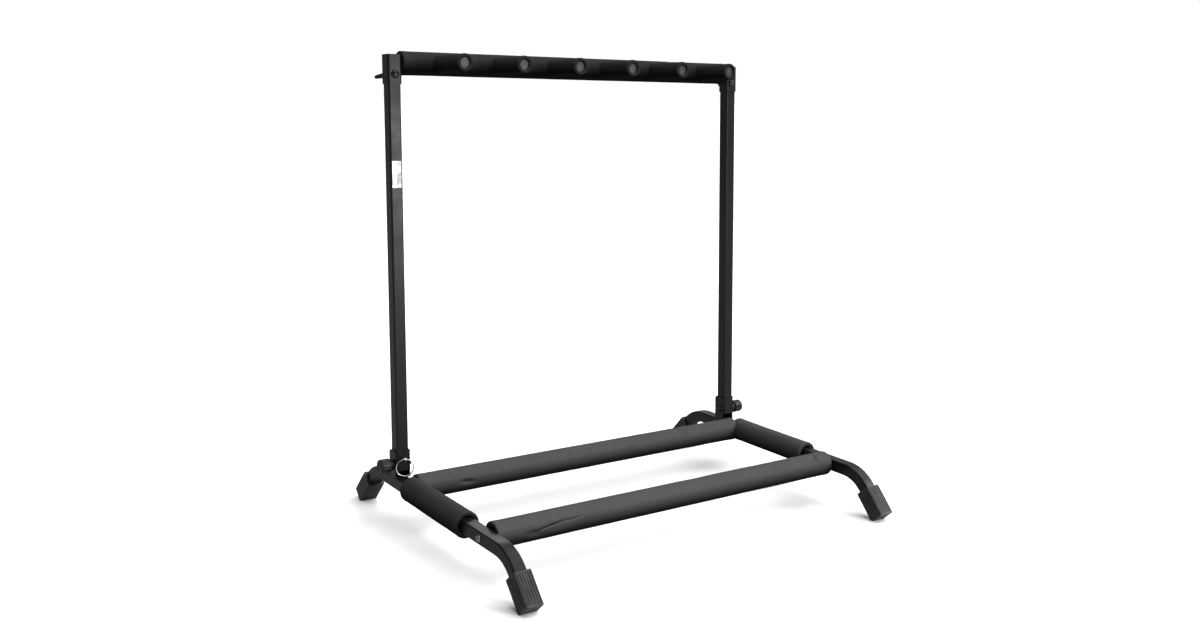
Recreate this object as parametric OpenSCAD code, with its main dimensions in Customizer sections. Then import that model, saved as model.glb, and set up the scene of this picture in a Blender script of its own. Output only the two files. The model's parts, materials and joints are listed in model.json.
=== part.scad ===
// Folding floor rack for five guitars: two bent side legs, two padded crossbars, a hinged
// neck frame with six padded pegs, a spring pin with a pull ring, clamp knobs and wing nuts.
// Origin: middle of the footprint at floor level. +X right, +Y back, +Z up, millimetres.

/* [Rack] */
// Distance between the centre lines of the two uprights and side legs
upright_spacing = 660; // [560:10:760]
// Side of the square steel tube
tube_size = 20; // [18:1:22]
// Wall of the square and round steel tubes
tube_wall = 1.5; // [1.2:0.1:2]
// Outer corner radius of the square tube
tube_corner = 2.5; // [2:0.5:3.5]
// How far the uprights lean back
lean = 2.5; // [0:0.5:4]
// Height of the top bar's axis above the side leg tubes
bar_height = 645; // [560:5:720]

/* [Side legs] */
// Straight run of a leg in front of the uprights
leg_front = 312; // [290:1:340]
// Straight run of a leg behind the uprights
leg_rear = 54; // [45:1:80]
// Centre line radius of the leg bends
bend_radius = 60; // [45:1:80]
// Angle through which each leg end bends down
bend_angle = 47; // [40:1:55]

/* [Rubber feet] */
// Width and depth of a foot across its tube
foot_size = 28; // [26:1:32]
// Length of a foot along its tube
foot_length = 50; // [44:1:60]
// Height of the worn flat where a foot meets the floor
foot_flat = 3; // [1:0.5:4]

/* [Crossbars] */
// Distance of the front crossbar ahead of the uprights
front_bar_reach = 269; // [250:1:280]
// Distance of the rear crossbar ahead of the uprights
rear_bar_reach = 33; // [32:1:40]
// Outer diameter of the round crossbar and top bar tubes
bar_tube = 22; // [19:1:25]
// Outer diameter of the foam on the base
base_foam = 39; // [34:1:39]
// Outer diameter of the foam on the top bar
top_foam = 36; // [30:1:36]
// Distance from the uprights to the rear end of the side foam
side_foam_start = 38; // [38:1:60]
// Length of the side foam
side_foam_length = 179; // [120:1:180]

/* [Neck pegs] */
// Number of pegs on the top bar
peg_count = 6; // [6:1:6]
// Distance between neighbouring pegs
peg_pitch = 102; // [90:1:102]
// Distance from the top bar's axis to the tip of a peg
peg_reach = 94; // [85:1:110]
// How far the pegs droop from square to the uprights
peg_droop = 1.2; // [0:0.1:2.5]
// Outer diameter of the peg tube
peg_tube = 16; // [14:1:16]
// Outer diameter of the peg foam
peg_foam = 27; // [25:1:28]

/* [Hinge and lock] */
// Height of the fold axis above the side leg tubes
pivot_height = 30; // [29.5:0.5:31]
// Diameter of the pivot bolts
pivot_bolt = 6; // [6:1:6]
// Diameter of the clamp knobs
knob_size = 22.6; // [20:0.2:22.6]
// Height of the lock pin above the fold axis
pin_height = 10; // [10:0.5:11]
// Outer diameter of the pull ring
ring_size = 28; // [24:1:28]

/* [Hidden] */
$fn = 48;

eps = 0.01;
lap = 0.5;
// A bent tube is a trace thicker in the bends
bend_swell = 0.04;
half_span = upright_spacing / 2;
half_tube = tube_size / 2;
tube_bore = tube_size - 2 * tube_wall;

// Where the legs and the uprights stand
foot_gap = 4;
foot_socket = 40;
leg_tip = foot_gap + foot_length;
leg_drop = bend_radius * (1 - cos(bend_angle)) + leg_tip * sin(bend_angle)
    + foot_size / 2 * cos(bend_angle);
leg_z = leg_drop - foot_flat;
upright_y = (leg_front - leg_rear) / 2;

// Fold axis, and distances along the upright measured from it
pivot_y = upright_y + pivot_height * tan(lean);
pivot_z = leg_z + pivot_height;
bar_d = (bar_height - pivot_height) / cos(lean);
socket_wall = 1.4;
socket_play = 0.1;
socket_half = half_tube + socket_play + socket_wall;
socket_top = bar_d + 12.6;
socket_length = 44;
socket_bolt_d = bar_d - 17;
upright_top = socket_top - socket_wall - 1;
upright_end = 9.5;

// Bracket, a channel open to the front
cheek_gap = half_tube + 0.4;
cheek = 2;
cheek_out = cheek_gap + cheek;
cheek_front = 8.8;
floor_front = 6;
bracket_top = 22.5;
guide_y = -6;
guide_z = 20.2;

// Lock pin along the upright's own Y axis
pin_r = 2.5;
pin_back = half_tube + 0.2;
pin_eye = -16.3;
eye_r = 3.2;
clip_y = 5;
bush_end = -6;
wire_r = 1;
ring_r = ring_size / 2 - wire_r;
ring_turn = 15;

// Depth of a peg's end plug behind the end of its foam
plug_recess = 3;

// Crossbar ends
bar_half = half_span - half_tube;
foam_end_gap = 0.5;
insert_length = 24;
crossbar_bolt = 6;

foam_colour = [0.13, 0.13, 0.14];
steel_black = [0.06, 0.06, 0.07];
zinc = [0.75, 0.76, 0.78];
rubber_black = [0.09, 0.09, 0.1];
plastic_black = [0.05, 0.05, 0.055];
grey_plastic = [0.45, 0.46, 0.47];

// ---- shared shapes ----

module round_square(side, radius) {
    square([side, side - 2 * radius], center = true);
    square([side - 2 * radius, side], center = true);
    for (sx = [-1, 1], sy = [-1, 1])
        translate([sx * (side / 2 - radius), sy * (side / 2 - radius)])
            circle(r = radius);
}

module tube_section(swell = 0) {
    difference() {
        round_square(tube_size + swell, tube_corner + swell / 2);
        round_square(tube_bore - swell, tube_corner - tube_wall - swell / 2);
    }
}

// A cylinder along X, centred on the origin
module rod_x(length, r) {
    rotate([0, 90, 0])
        cylinder(h = length, r = r, center = true);
}

// A cylinder along +Y that starts at the origin
module rod_y(length, r) {
    rotate([-90, 0, 0])
        cylinder(h = length, r = r);
}

module at_side(side) {
    translate([side * half_span, upright_y, leg_z])
        children();
}

// The folding frame's own axes: origin on the fold axis, Z along the uprights
module in_frame(x = 0) {
    translate([x, pivot_y, pivot_z])
        rotate([-lean, 0, 0])
            children();
}

// From the start of a leg's front bend: local X up, local Y forward
module at_front_bend() {
    translate([0, -leg_front, -bend_radius])
        rotate([0, -90, 180])
            children();
}

module at_leg_end() {
    rotate([0, 0, bend_angle])
        translate([bend_radius, 0, 0])
            rotate([-90, 0, 0])
                children();
}

// Front end as drawn, rear end mirrored about the middle of the straight run
module both_leg_ends() {
    children();
    translate([0, leg_rear - leg_front, 0])
        mirror([0, 1, 0])
            children();
}

// ---- base ----

module leg_end_tube() {
    at_front_bend() {
        rotate_extrude(angle = bend_angle)
            translate([bend_radius, 0])
                tube_section(bend_swell);
        at_leg_end()
            translate([0, 0, -lap])
                linear_extrude(foot_gap + foot_socket + lap)
                    tube_section();
    }
}

module side_leg(side) {
    color(steel_black)
        at_side(side)
            difference() {
                union() {
                    translate([0, leg_rear + lap, 0])
                        rotate([90, 0, 0])
                            linear_extrude(leg_front + leg_rear + 2 * lap)
                                tube_section();
                    both_leg_ends()
                        leg_end_tube();
                }
                for (reach = [front_bar_reach, rear_bar_reach])
                    translate([0, -reach, 0])
                        rod_x(2 * tube_size, crossbar_bolt / 2);
            }
}

module left_side_leg() { side_leg(-1); }
module right_side_leg() { side_leg(1); }

module foot_outline() {
    ribs = 6;
    groove = 1.3;
    step = (foot_size - 7) / (ribs - 1);
    difference() {
        round_square(foot_size, 2.5);
        for (turn = [0 : 90 : 270], i = [0 : ribs - 1])
            rotate(turn)
                translate([(i - (ribs - 1) / 2) * step, foot_size / 2])
                    square([groove, 1.6], center = true);
    }
}

module front_foot() {
    at_front_bend()
        at_leg_end()
            translate([0, 0, foot_gap])
                difference() {
                    union() {
                        linear_extrude(3)
                            round_square(foot_size - 0.2, 2.5);
                        translate([0, 0, 3])
                            linear_extrude(foot_length - 6)
                                foot_outline();
                        translate([0, 0, foot_length - 3])
                            linear_extrude(3)
                                round_square(foot_size, 2.5);
                    }
                    translate([0, 0, -eps])
                        linear_extrude(foot_socket + eps)
                            round_square(tube_size, tube_corner);
                }
}

module rubber_foot(side, rear) {
    color(rubber_black)
        difference() {
            at_side(side)
                translate([0, rear ? leg_rear - leg_front : 0, 0])
                    mirror([0, rear ? 1 : 0, 0])
                        front_foot();
            translate([side * half_span, 0, -50])
                cube([200, 2000, 100], center = true);
        }
}

module front_left_foot() { rubber_foot(-1, false); }
module front_right_foot() { rubber_foot(1, false); }
module rear_left_foot() { rubber_foot(-1, true); }
module rear_right_foot() { rubber_foot(1, true); }

module crossbar_at(reach) {
    translate([0, upright_y - reach, leg_z])
        children();
}

module crossbar_tube(reach) {
    color(steel_black)
        crossbar_at(reach)
            difference() {
                rod_x(2 * bar_half, bar_tube / 2);
                rod_x(2 * bar_half + 2, bar_tube / 2 - tube_wall);
            }
}

module rear_crossbar_tube() { crossbar_tube(rear_bar_reach); }
module front_crossbar_tube() { crossbar_tube(front_bar_reach); }

// Steel plugs in the ends of the crossbar tubes, tapped for the bolts
module crossbar_end_inserts() {
    color(zinc)
        for (reach = [front_bar_reach, rear_bar_reach], side = [-1, 1])
            crossbar_at(reach)
                translate([side * (bar_half - insert_length / 2), 0, 0])
                    difference() {
                        rod_x(insert_length, bar_tube / 2 - tube_wall);
                        rod_x(insert_length + 2, crossbar_bolt / 2);
                    }
}

// Button head bolts through the side legs along X
module crossbar_bolts() {
    head = 2.8;
    shank = tube_size + 18;
    color(zinc)
        for (reach = [front_bar_reach, rear_bar_reach], side = [-1, 1])
            crossbar_at(reach)
                translate([side * (half_span + half_tube), 0, 0])
                    rotate([0, side * 90, 0])
                        difference() {
                            union() {
                                translate([0, 0, -shank])
                                    cylinder(h = shank + eps, r = crossbar_bolt / 2);
                                cylinder(h = head, r1 = 5.2, r2 = 3.6);
                            }
                            translate([0, 0, head - 2])
                                cylinder(h = 3, r = 2.1, $fn = 6);
                        }
}

module crossbar_foam(reach) {
    color(foam_colour)
        crossbar_at(reach)
            difference() {
                rod_x(2 * (bar_half - foam_end_gap), base_foam / 2);
                rod_x(2 * bar_half, bar_tube / 2);
            }
}

module rear_crossbar_foam() { crossbar_foam(rear_bar_reach); }
module front_crossbar_foam() { crossbar_foam(front_bar_reach); }

// The sleeve is scooped out where the rear crossbar's foam presses into it
module side_foam(side) {
    inner = 13.5;
    color(foam_colour)
        difference() {
            at_side(side)
                translate([0, -side_foam_start - side_foam_length, 0])
                    difference() {
                        rod_y(side_foam_length, base_foam / 2);
                        translate([0, -1, 0])
                            rod_y(side_foam_length + 2, inner);
                    }
            crossbar_at(rear_bar_reach)
                rod_x(2 * (bar_half + foam_end_gap), base_foam / 2 + 0.3);
        }
}

module left_side_foam() { side_foam(-1); }
module right_side_foam() { side_foam(1); }

// ---- brackets ----

module bracket(side) {
    leg_top = leg_z + half_tube;
    base_z = half_tube - pivot_height - 3;
    color(steel_black)
        difference() {
            in_frame(side * half_span)
                translate([-cheek_out, -cheek_front, base_z])
                    cube([2 * cheek_out, cheek_front + cheek_out, bracket_top - base_z]);
            // The channel, down to the top of its floor
            intersection() {
                in_frame(side * half_span)
                    translate([-cheek_gap, -cheek_front - 5, base_z - 5])
                        cube([2 * cheek_gap, cheek_front + cheek_gap + 5, 80]);
                translate([side * half_span, pivot_y, leg_top + cheek + 100])
                    cube([100, 100, 200], center = true);
            }
            // Front edge of the floor, set back to clear the lock pin's eye
            translate([side * half_span, pivot_y - floor_front - 20, leg_top])
                cube([2 * cheek_gap - 1, 40, 2 * cheek + 4], center = true);
            // Everything below the top of the leg
            translate([side * half_span, pivot_y, leg_top - 50])
                cube([100, 100, 100], center = true);
            in_frame(side * half_span) {
                rod_x(80, pivot_bolt / 2);
                translate([0, 0, pin_height])
                    rod_y(40, pin_r + 0.2);
                translate([0, guide_y, guide_z])
                    rod_x(80, 1.5);
                for (sy = [-1, 1])
                    translate([0, sy > 0 ? cheek_out : -cheek_front, bracket_top])
                        rotate([45, 0, 0])
                            cube([80, 4, 4], center = true);
            }
        }
}

module left_upright_bracket() { bracket(-1); }
module right_upright_bracket() { bracket(1); }

// One round head rivet in each cheek
module bracket_guide_rivets() {
    color(steel_black)
        for (side = [-1, 1], face = [-1, 1])
            in_frame(side * half_span)
                translate([face * cheek_gap, guide_y, guide_z])
                    rotate([0, face * 90, 0]) {
                        cylinder(h = cheek + eps, r = 1.5);
                        translate([0, 0, cheek])
                            cylinder(h = 1.3, r1 = 2.6, r2 = 1.4);
                    }
}

// Bolt along X, head on the inner cheek, thread in the knob outside
module pivot_bolt_part(side) {
    head = 4;
    color(steel_black)
        in_frame(side * half_span)
            rotate([0, side * 90, 0])
                translate([0, 0, -cheek_out]) {
                    cylinder(h = 2 * cheek_out + 18, r = pivot_bolt / 2);
                    translate([0, 0, -head])
                        cylinder(h = head, r1 = 4, r2 = 5.2);
                }
}

module left_pivot_bolt() { pivot_bolt_part(-1); }
module right_pivot_bolt() { pivot_bolt_part(1); }

// Round clamp knob: narrow neck, fluted grip, dished end
module clamp_knob(side) {
    neck = 5;
    grip = 18;
    flutes = 10;
    color(plastic_black)
        in_frame(side * half_span)
            rotate([0, side * 90, 0])
                translate([0, 0, cheek_out + 0.3])
                    difference() {
                        union() {
                            cylinder(h = neck, r = 8);
                            translate([0, 0, neck - eps])
                                cylinder(h = 2, r1 = 8, r2 = knob_size / 2);
                            translate([0, 0, neck + 1.9])
                                cylinder(h = grip - 3.4, r = knob_size / 2);
                            translate([0, 0, neck + grip - 1.6])
                                cylinder(h = 1.6, r1 = knob_size / 2, r2 = knob_size / 2 - 1.2);
                        }
                        translate([0, 0, -1])
                            cylinder(h = 20, r = pivot_bolt / 2 + 0.05);
                        for (i = [0 : flutes - 1])
                            rotate([0, 0, i * 360 / flutes])
                                translate([knob_size / 2 + 1.4, 0, neck + 2])
                                    cylinder(h = grip, r = 2.2);
                        translate([0, 0, neck + grip - 0.8])
                            cylinder(h = 2, r = 7);
                    }
}

module left_clamp_knob() { clamp_knob(-1); }
module right_clamp_knob() { clamp_knob(1); }

// ---- folding frame ----

module upright(side) {
    color(steel_black)
        in_frame(side * half_span)
            difference() {
                translate([0, 0, -upright_end])
                    linear_extrude(upright_top + upright_end)
                        tube_section();
                // Rounded lower back corner, so the end turns past the bracket
                difference() {
                    translate([-tube_size, 0, -20])
                        cube([2 * tube_size, 20, 20]);
                    rod_x(60, half_tube + 0.1);
                }
                rod_x(60, 4.5);
                translate([0, -20, socket_bolt_d])
                    rod_y(40, 3);
                if (side < 0) {
                    translate([0, 0, pin_height])
                        rod_y(20, pin_r + 0.1);
                    translate([0, -20, pin_height])
                        rod_y(20, 4.2);
                }
            }
}

module left_upright() { upright(-1); }
module right_upright() { upright(1); }

// Plastic plugs in the lower ends of the uprights
module upright_foot_plugs() {
    color(plastic_black)
        for (side = [-1, 1])
            in_frame(side * half_span)
                difference() {
                    translate([0, 0, -upright_end + 0.5])
                        linear_extrude(4)
                            round_square(tube_bore, tube_corner - tube_wall);
                    difference() {
                        translate([-tube_size, 0, -20])
                            cube([2 * tube_size, 20, 20]);
                        rod_x(60, half_tube - tube_wall);
                    }
                    rod_x(60, 4.5);
                }
}

// Plastic bushes that turn on the pivot bolts
module pivot_bushes() {
    color(grey_plastic)
        for (side = [-1, 1])
            in_frame(side * half_span)
                difference() {
                    rod_x(tube_size, 4.5);
                    rod_x(tube_size + 2, pivot_bolt / 2 + 0.05);
                }
}

// Threaded bush in the front face that guides the lock pin
module lock_pin_bush() {
    flange = 1.2;
    color(steel_black)
        in_frame(-half_span)
            translate([0, 0, pin_height])
                difference() {
                    union() {
                        translate([0, -half_tube - flange, 0])
                            rod_y(flange, 6);
                        translate([0, -half_tube, 0])
                            rod_y(half_tube + bush_end, 4.2);
                    }
                    translate([0, -20, 0])
                        rod_y(20, pin_r + 0.05);
                }
}

// Coil spring between the bush and the clip: points along a helix, swept with a round wire
spring_turns = 6;
spring_steps = 96;
spring_sides = 8;
spring_mean_r = 3.5;
spring_wire_r = 0.35;
spring_from = bush_end + spring_wire_r + 0.05;
spring_to = clip_y - spring_wire_r - 0.05;

function helix(t) = [
    spring_mean_r * cos(360 * spring_turns * t),
    spring_from + (spring_to - spring_from) * t,
    spring_mean_r * sin(360 * spring_turns * t)
];

function wire_ring(t) = let (
    turn = 360 * spring_turns * t,
    out = [cos(turn), 0, sin(turn)]
) [for (k = [0 : spring_sides - 1])
    helix(t) + spring_wire_r * (cos(360 * k / spring_sides) * out
        + sin(360 * k / spring_sides) * [0, 1, 0])];

module lock_pin_spring() {
    points = [for (i = [0 : spring_steps]) each wire_ring(i / spring_steps)];
    last = spring_steps * spring_sides;
    faces = concat(
        [[for (k = [0 : spring_sides - 1]) k]],
        [for (i = [0 : spring_steps - 1], k = [0 : spring_sides - 1])
            let (next = (k + 1) % spring_sides)
            [i * spring_sides + k, (i + 1) * spring_sides + k,
             (i + 1) * spring_sides + next, i * spring_sides + next]],
        [[for (k = [spring_sides - 1 : -1 : 0]) last + k]]
    );
    color(zinc)
        in_frame(-half_span)
            translate([0, 0, pin_height])
                polyhedron(points = points, faces = faces);
}

// Spring seat: a clip in a groove of the pin
module lock_pin_clip() {
    color(zinc)
        in_frame(-half_span)
            translate([0, clip_y, pin_height])
                difference() {
                    rod_y(1.2, 4.4);
                    translate([0, -1, 0])
                        rod_y(4, 2.05);
                }
}

// Sprung pin: cone nose in the bracket, flattened eye in front for the ring
module lock_pin() {
    color(zinc)
        in_frame(-half_span)
            translate([0, 0, pin_height])
                difference() {
                    union() {
                        translate([0, pin_eye + 1, 0])
                            rod_y(clip_y - pin_eye - 1.1, pin_r);
                        translate([0, clip_y - 0.2, 0])
                            rod_y(1.6, 2);
                        translate([0, clip_y + 1.3, 0])
                            rod_y(pin_back - clip_y - 1.3, pin_r);
                        translate([0, pin_back, 0])
                            rotate([-90, 0, 0])
                                cylinder(h = 1.1, r1 = pin_r, r2 = 0.6);
                        translate([0, pin_eye, 0])
                            rod_x(3, eye_r);
                    }
                    translate([0, pin_eye, 0])
                        rod_x(10, 1.7);
                }
}

// Split ring that hangs in the eye
module pull_ring() {
    color(zinc)
        in_frame(-half_span)
            translate([0, pin_eye, pin_height - ring_r])
                rotate([0, 0, -ring_turn])
                    rotate([90, 0, 0])
                        rotate_extrude($fn = 64)
                            translate([ring_r, 0])
                                circle(r = wire_r, $fn = 24);
}

// Plain sticker without any printing
module blank_label() {
    color([0.8, 0.8, 0.8])
        in_frame(-half_span)
            translate([-7.5, -half_tube - 0.25, 429])
                cube([15, 0.25, 40]);
}

// Square sleeve over the top of an upright, closed above
module top_socket(side) {
    color(steel_black)
        in_frame(side * half_span)
            difference() {
                translate([0, 0, socket_top - socket_length])
                    linear_extrude(socket_length)
                        round_square(2 * socket_half, tube_corner + 1);
                translate([0, 0, socket_top - socket_length - 1])
                    linear_extrude(socket_length + 1 - socket_wall)
                        round_square(2 * (half_tube + socket_play), tube_corner);
                translate([0, -20, socket_bolt_d])
                    rod_y(40, 3);
            }
}

module left_top_socket() { top_socket(-1); }
module right_top_socket() { top_socket(1); }

module top_bar_tube() {
    length = 2 * (half_span - socket_half);
    color(steel_black)
        in_frame()
            translate([0, 0, bar_d])
                difference() {
                    rod_x(length, bar_tube / 2);
                    rod_x(length + 2, bar_tube / 2 - tube_wall);
                }
}

function peg_x(n) = (n - (peg_count + 1) / 2) * peg_pitch;

// Origin on the top bar's axis, -Y along the peg
module at_peg(n) {
    in_frame(peg_x(n))
        translate([0, 0, bar_d])
            rotate([peg_droop, 0, 0])
                children();
}

module top_bar_foam() {
    length = 2 * (half_span - socket_half - foam_end_gap);
    color(foam_colour)
        difference() {
            in_frame()
                translate([0, 0, bar_d])
                    difference() {
                        rod_x(length, top_foam / 2);
                        rod_x(length + 2, bar_tube / 2);
                    }
            for (n = [1 : peg_count])
                at_peg(n)
                    translate([0, -top_foam, 0])
                        rod_y(top_foam, peg_tube / 2);
        }
}

// Domed bolts from the front, along the upright's own Y axis
module socket_bolts() {
    head = 3.4;
    reach = 2 * socket_half + 13;
    color(plastic_black)
        for (side = [-1, 1])
            in_frame(side * half_span)
                translate([0, -socket_half, socket_bolt_d]) {
                    rod_y(reach, 3);
                    rotate([90, 0, 0]) {
                        cylinder(h = head - 1.4, r1 = 6.5, r2 = 6);
                        translate([0, 0, head - 1.4])
                            cylinder(h = 1.4, r1 = 6, r2 = 3.4);
                    }
                }
}

module socket_washers() {
    color(zinc)
        for (side = [-1, 1])
            in_frame(side * half_span)
                translate([0, socket_half, socket_bolt_d])
                    difference() {
                        rod_y(1.2, 7);
                        translate([0, -1, 0])
                            rod_y(4, 3.2);
                    }
}

// Two thick wings, wide at the root and swept back, on a tapered hub
module wing_nut(side) {
    hub = 8;
    wing_tip = 15;
    turn = side < 0 ? -13 : 57;
    color(plastic_black)
        in_frame(side * half_span)
            translate([0, socket_half + 1.5, socket_bolt_d])
                rotate([-90, 0, 0])
                    rotate([0, 0, turn])
                        difference() {
                            union() {
                                cylinder(h = hub, r1 = 6, r2 = 5.4);
                                for (face = [0, 180])
                                    rotate([0, 0, face])
                                        wing(wing_tip);
                            }
                            translate([0, 0, -1])
                                cylinder(h = 30, r = 3.05);
                        }
}

module wing(tip) {
    intersection() {
        linear_extrude(15) {
            polygon([[0, -5.2], [tip, -2.8], [tip, 2.8], [0, 5.2]]);
            translate([tip, 0])
                circle(r = 2.8);
        }
        rotate([90, 0, 0])
            linear_extrude(20, center = true)
                polygon([[-1, 0.8], [7, 0.8], [18.5, 8], [18.5, 12], [16, 14], [12.5, 14], [5, 8], [-1, 8]]);
    }
}

module left_wing_nut() { wing_nut(-1); }
module right_wing_nut() { wing_nut(1); }

// Peg tube, cut to sit on the round of the top bar tube
module neck_peg(n) {
    tip = peg_reach - plug_recess - 2;
    color(steel_black)
        at_peg(n)
            difference() {
                translate([0, -tip, 0])
                    rod_y(tip - 6, peg_tube / 2);
                translate([0, -tip - 1, 0])
                    rod_y(tip + 1, peg_tube / 2 - tube_wall);
                rod_x(60, bar_tube / 2);
            }
}

module peg_foam(n) {
    color(foam_colour)
        at_peg(n)
            difference() {
                translate([0, -peg_reach, 0])
                    rod_y(peg_reach - 6, peg_foam / 2);
                translate([0, -peg_reach - 1, 0])
                    rod_y(peg_reach + 1, peg_tube / 2);
                rod_x(60, top_foam / 2 + 0.2);
            }
}

// Grey plug with a spigot in the end of a peg tube
module peg_plug(n) {
    color(grey_plastic)
        at_peg(n)
            translate([0, -peg_reach + plug_recess, 0]) {
                rod_y(2, peg_tube / 2);
                translate([0, 2 - eps, 0])
                    rod_y(9, peg_tube / 2 - tube_wall);
            }
}

module neck_peg_1() { neck_peg(1); }
module neck_peg_2() { neck_peg(2); }
module neck_peg_3() { neck_peg(3); }
module neck_peg_4() { neck_peg(4); }
module neck_peg_5() { neck_peg(5); }
module neck_peg_6() { neck_peg(6); }
module peg_foam_1() { peg_foam(1); }
module peg_foam_2() { peg_foam(2); }
module peg_foam_3() { peg_foam(3); }
module peg_foam_4() { peg_foam(4); }
module peg_foam_5() { peg_foam(5); }
module peg_foam_6() { peg_foam(6); }
module peg_plug_1() { peg_plug(1); }
module peg_plug_2() { peg_plug(2); }
module peg_plug_3() { peg_plug(3); }
module peg_plug_4() { peg_plug(4); }
module peg_plug_5() { peg_plug(5); }
module peg_plug_6() { peg_plug(6); }

left_side_leg();
right_side_leg();
front_left_foot();
front_right_foot();
rear_left_foot();
rear_right_foot();
rear_crossbar_tube();
front_crossbar_tube();
crossbar_end_inserts();
crossbar_bolts();
rear_crossbar_foam();
front_crossbar_foam();
left_side_foam();
right_side_foam();
left_upright_bracket();
right_upright_bracket();
bracket_guide_rivets();
left_pivot_bolt();
right_pivot_bolt();
left_clamp_knob();
right_clamp_knob();
left_upright();
right_upright();
upright_foot_plugs();
pivot_bushes();
lock_pin_bush();
lock_pin_spring();
lock_pin_clip();
lock_pin();
pull_ring();
blank_label();
left_top_socket();
right_top_socket();
top_bar_tube();
top_bar_foam();
socket_bolts();
socket_washers();
left_wing_nut();
right_wing_nut();
neck_peg_1();
neck_peg_2();
neck_peg_3();
neck_peg_4();
neck_peg_5();
neck_peg_6();
peg_foam_1();
peg_foam_2();
peg_foam_3();
peg_foam_4();
peg_foam_5();
peg_foam_6();
peg_plug_1();
peg_plug_2();
peg_plug_3();
peg_plug_4();
peg_plug_5();
peg_plug_6();
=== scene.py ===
"""A folding guitar rack in a studio: foam sleeves, knobs, nuts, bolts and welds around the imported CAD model."""

import json
import math

import bpy
from mathutils import Matrix, Vector, noise


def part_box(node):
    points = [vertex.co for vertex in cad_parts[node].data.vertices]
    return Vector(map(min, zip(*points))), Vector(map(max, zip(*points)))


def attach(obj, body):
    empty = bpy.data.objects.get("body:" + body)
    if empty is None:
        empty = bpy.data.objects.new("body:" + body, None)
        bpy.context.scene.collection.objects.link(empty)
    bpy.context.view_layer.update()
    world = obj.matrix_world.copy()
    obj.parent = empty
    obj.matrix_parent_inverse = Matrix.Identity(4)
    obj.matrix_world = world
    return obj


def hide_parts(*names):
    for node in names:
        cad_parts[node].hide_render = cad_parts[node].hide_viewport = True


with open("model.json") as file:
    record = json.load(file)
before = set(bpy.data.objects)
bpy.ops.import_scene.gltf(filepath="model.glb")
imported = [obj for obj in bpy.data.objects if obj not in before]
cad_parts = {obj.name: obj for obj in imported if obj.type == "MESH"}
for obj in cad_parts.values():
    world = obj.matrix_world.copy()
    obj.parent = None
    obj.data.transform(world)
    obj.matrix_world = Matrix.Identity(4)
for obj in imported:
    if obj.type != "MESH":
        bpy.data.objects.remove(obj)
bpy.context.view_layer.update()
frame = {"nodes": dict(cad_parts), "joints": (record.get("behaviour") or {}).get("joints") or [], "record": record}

MM = 0.001
TAU = 2 * math.pi
X = Vector((1, 0, 0))
Y = Vector((0, 1, 0))
Z = Vector((0, 0, 1))

joints = {joint["name"]: joint for joint in frame["joints"]}


def box_centre(node):
    low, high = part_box(node)
    return (low + high) / 2


def extent(node, origin, direction):
    """How far a CAD node reaches back and forward from origin along direction."""
    reach = [(v.co - origin).dot(direction) for v in frame["nodes"][node].data.vertices]
    return min(reach), max(reach)


# The folding frame's own axes: X to the right, BACK across the uprights, UP along them
BACK = Vector(joints["lock_pin_pull"]["axis"])
UP = X.cross(BACK)
PIVOT = Vector(joints["upper_frame_fold"]["pos_m"])
BAR = box_centre("top_bar_tube")


# ---- materials ----


def shader(tree, kind, inputs=None, **settings):
    """A node with its inputs set: a socket is linked, anything else is a value."""
    made = tree.nodes.new("ShaderNode" + kind)
    for key, value in settings.items():
        setattr(made, key, value)
    for key, value in (inputs or {}).items():
        if isinstance(value, bpy.types.NodeSocket):
            tree.links.new(value, made.inputs[key])
        else:
            made.inputs[key].default_value = value
    return made


def new_material(name):
    material = bpy.data.materials.new(name)
    material.use_nodes = True
    tree = material.node_tree
    tree.nodes.clear()
    principled = shader(tree, "BsdfPrincipled")
    out = shader(tree, "OutputMaterial", {"Surface": principled.outputs["BSDF"]})
    out.is_active_output = True
    place = shader(tree, "TexCoord").outputs["Object"]
    return material, tree, principled, place


def grey(value, blue=1.0):
    return (value, value, value * blue, 1)


def noise_at(tree, place, scale, detail=3.0, roughness=0.5, stretch=None):
    if stretch:
        place = shader(tree, "Mapping", {"Vector": place, "Scale": stretch}).outputs["Vector"]
    inputs = {"Vector": place, "Scale": scale, "Detail": detail, "Roughness": roughness}
    return shader(tree, "TexNoise", inputs).outputs["Fac"]


def remap(tree, value, low, high, to_low, to_high):
    return shader(tree, "MapRange", {"Value": value, "From Min": low, "From Max": high,
                                     "To Min": to_low, "To Max": to_high}).outputs["Result"]


def mix_colour(tree, factor, a, b):
    mixed = shader(tree, "Mix", data_type="RGBA")
    # A colour mix's factor and two colours are its inputs 0, 6 and 7
    for index, value in ((0, factor), (6, a), (7, b)):
        if isinstance(value, bpy.types.NodeSocket):
            tree.links.new(value, mixed.inputs[index])
        else:
            mixed.inputs[index].default_value = value
    return mixed.outputs[2]


def multiply(tree, a, b):
    return shader(tree, "Math", {0: a, 1: b}, operation="MULTIPLY").outputs[0]


def bump(tree, height, strength, distance, normal=None):
    inputs = {"Height": height, "Strength": strength, "Distance": distance}
    if normal:
        inputs["Normal"] = normal
    return shader(tree, "Bump", inputs).outputs["Normal"]


def edge_wear_and_highlight(tree, place, low, high, amount):
    """1 on convex edges, broken up by noise; the lightening it drives is partly wear and partly a painted
    highlight.
    """
    pointy = shader(tree, "NewGeometry").outputs["Pointiness"]
    edges = remap(tree, pointy, low, high, 0.0, amount)
    patches = remap(tree, noise_at(tree, place, 90, 4, 0.65), 0.45, 0.62, 0.0, 1.0)
    return multiply(tree, edges, patches)


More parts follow.
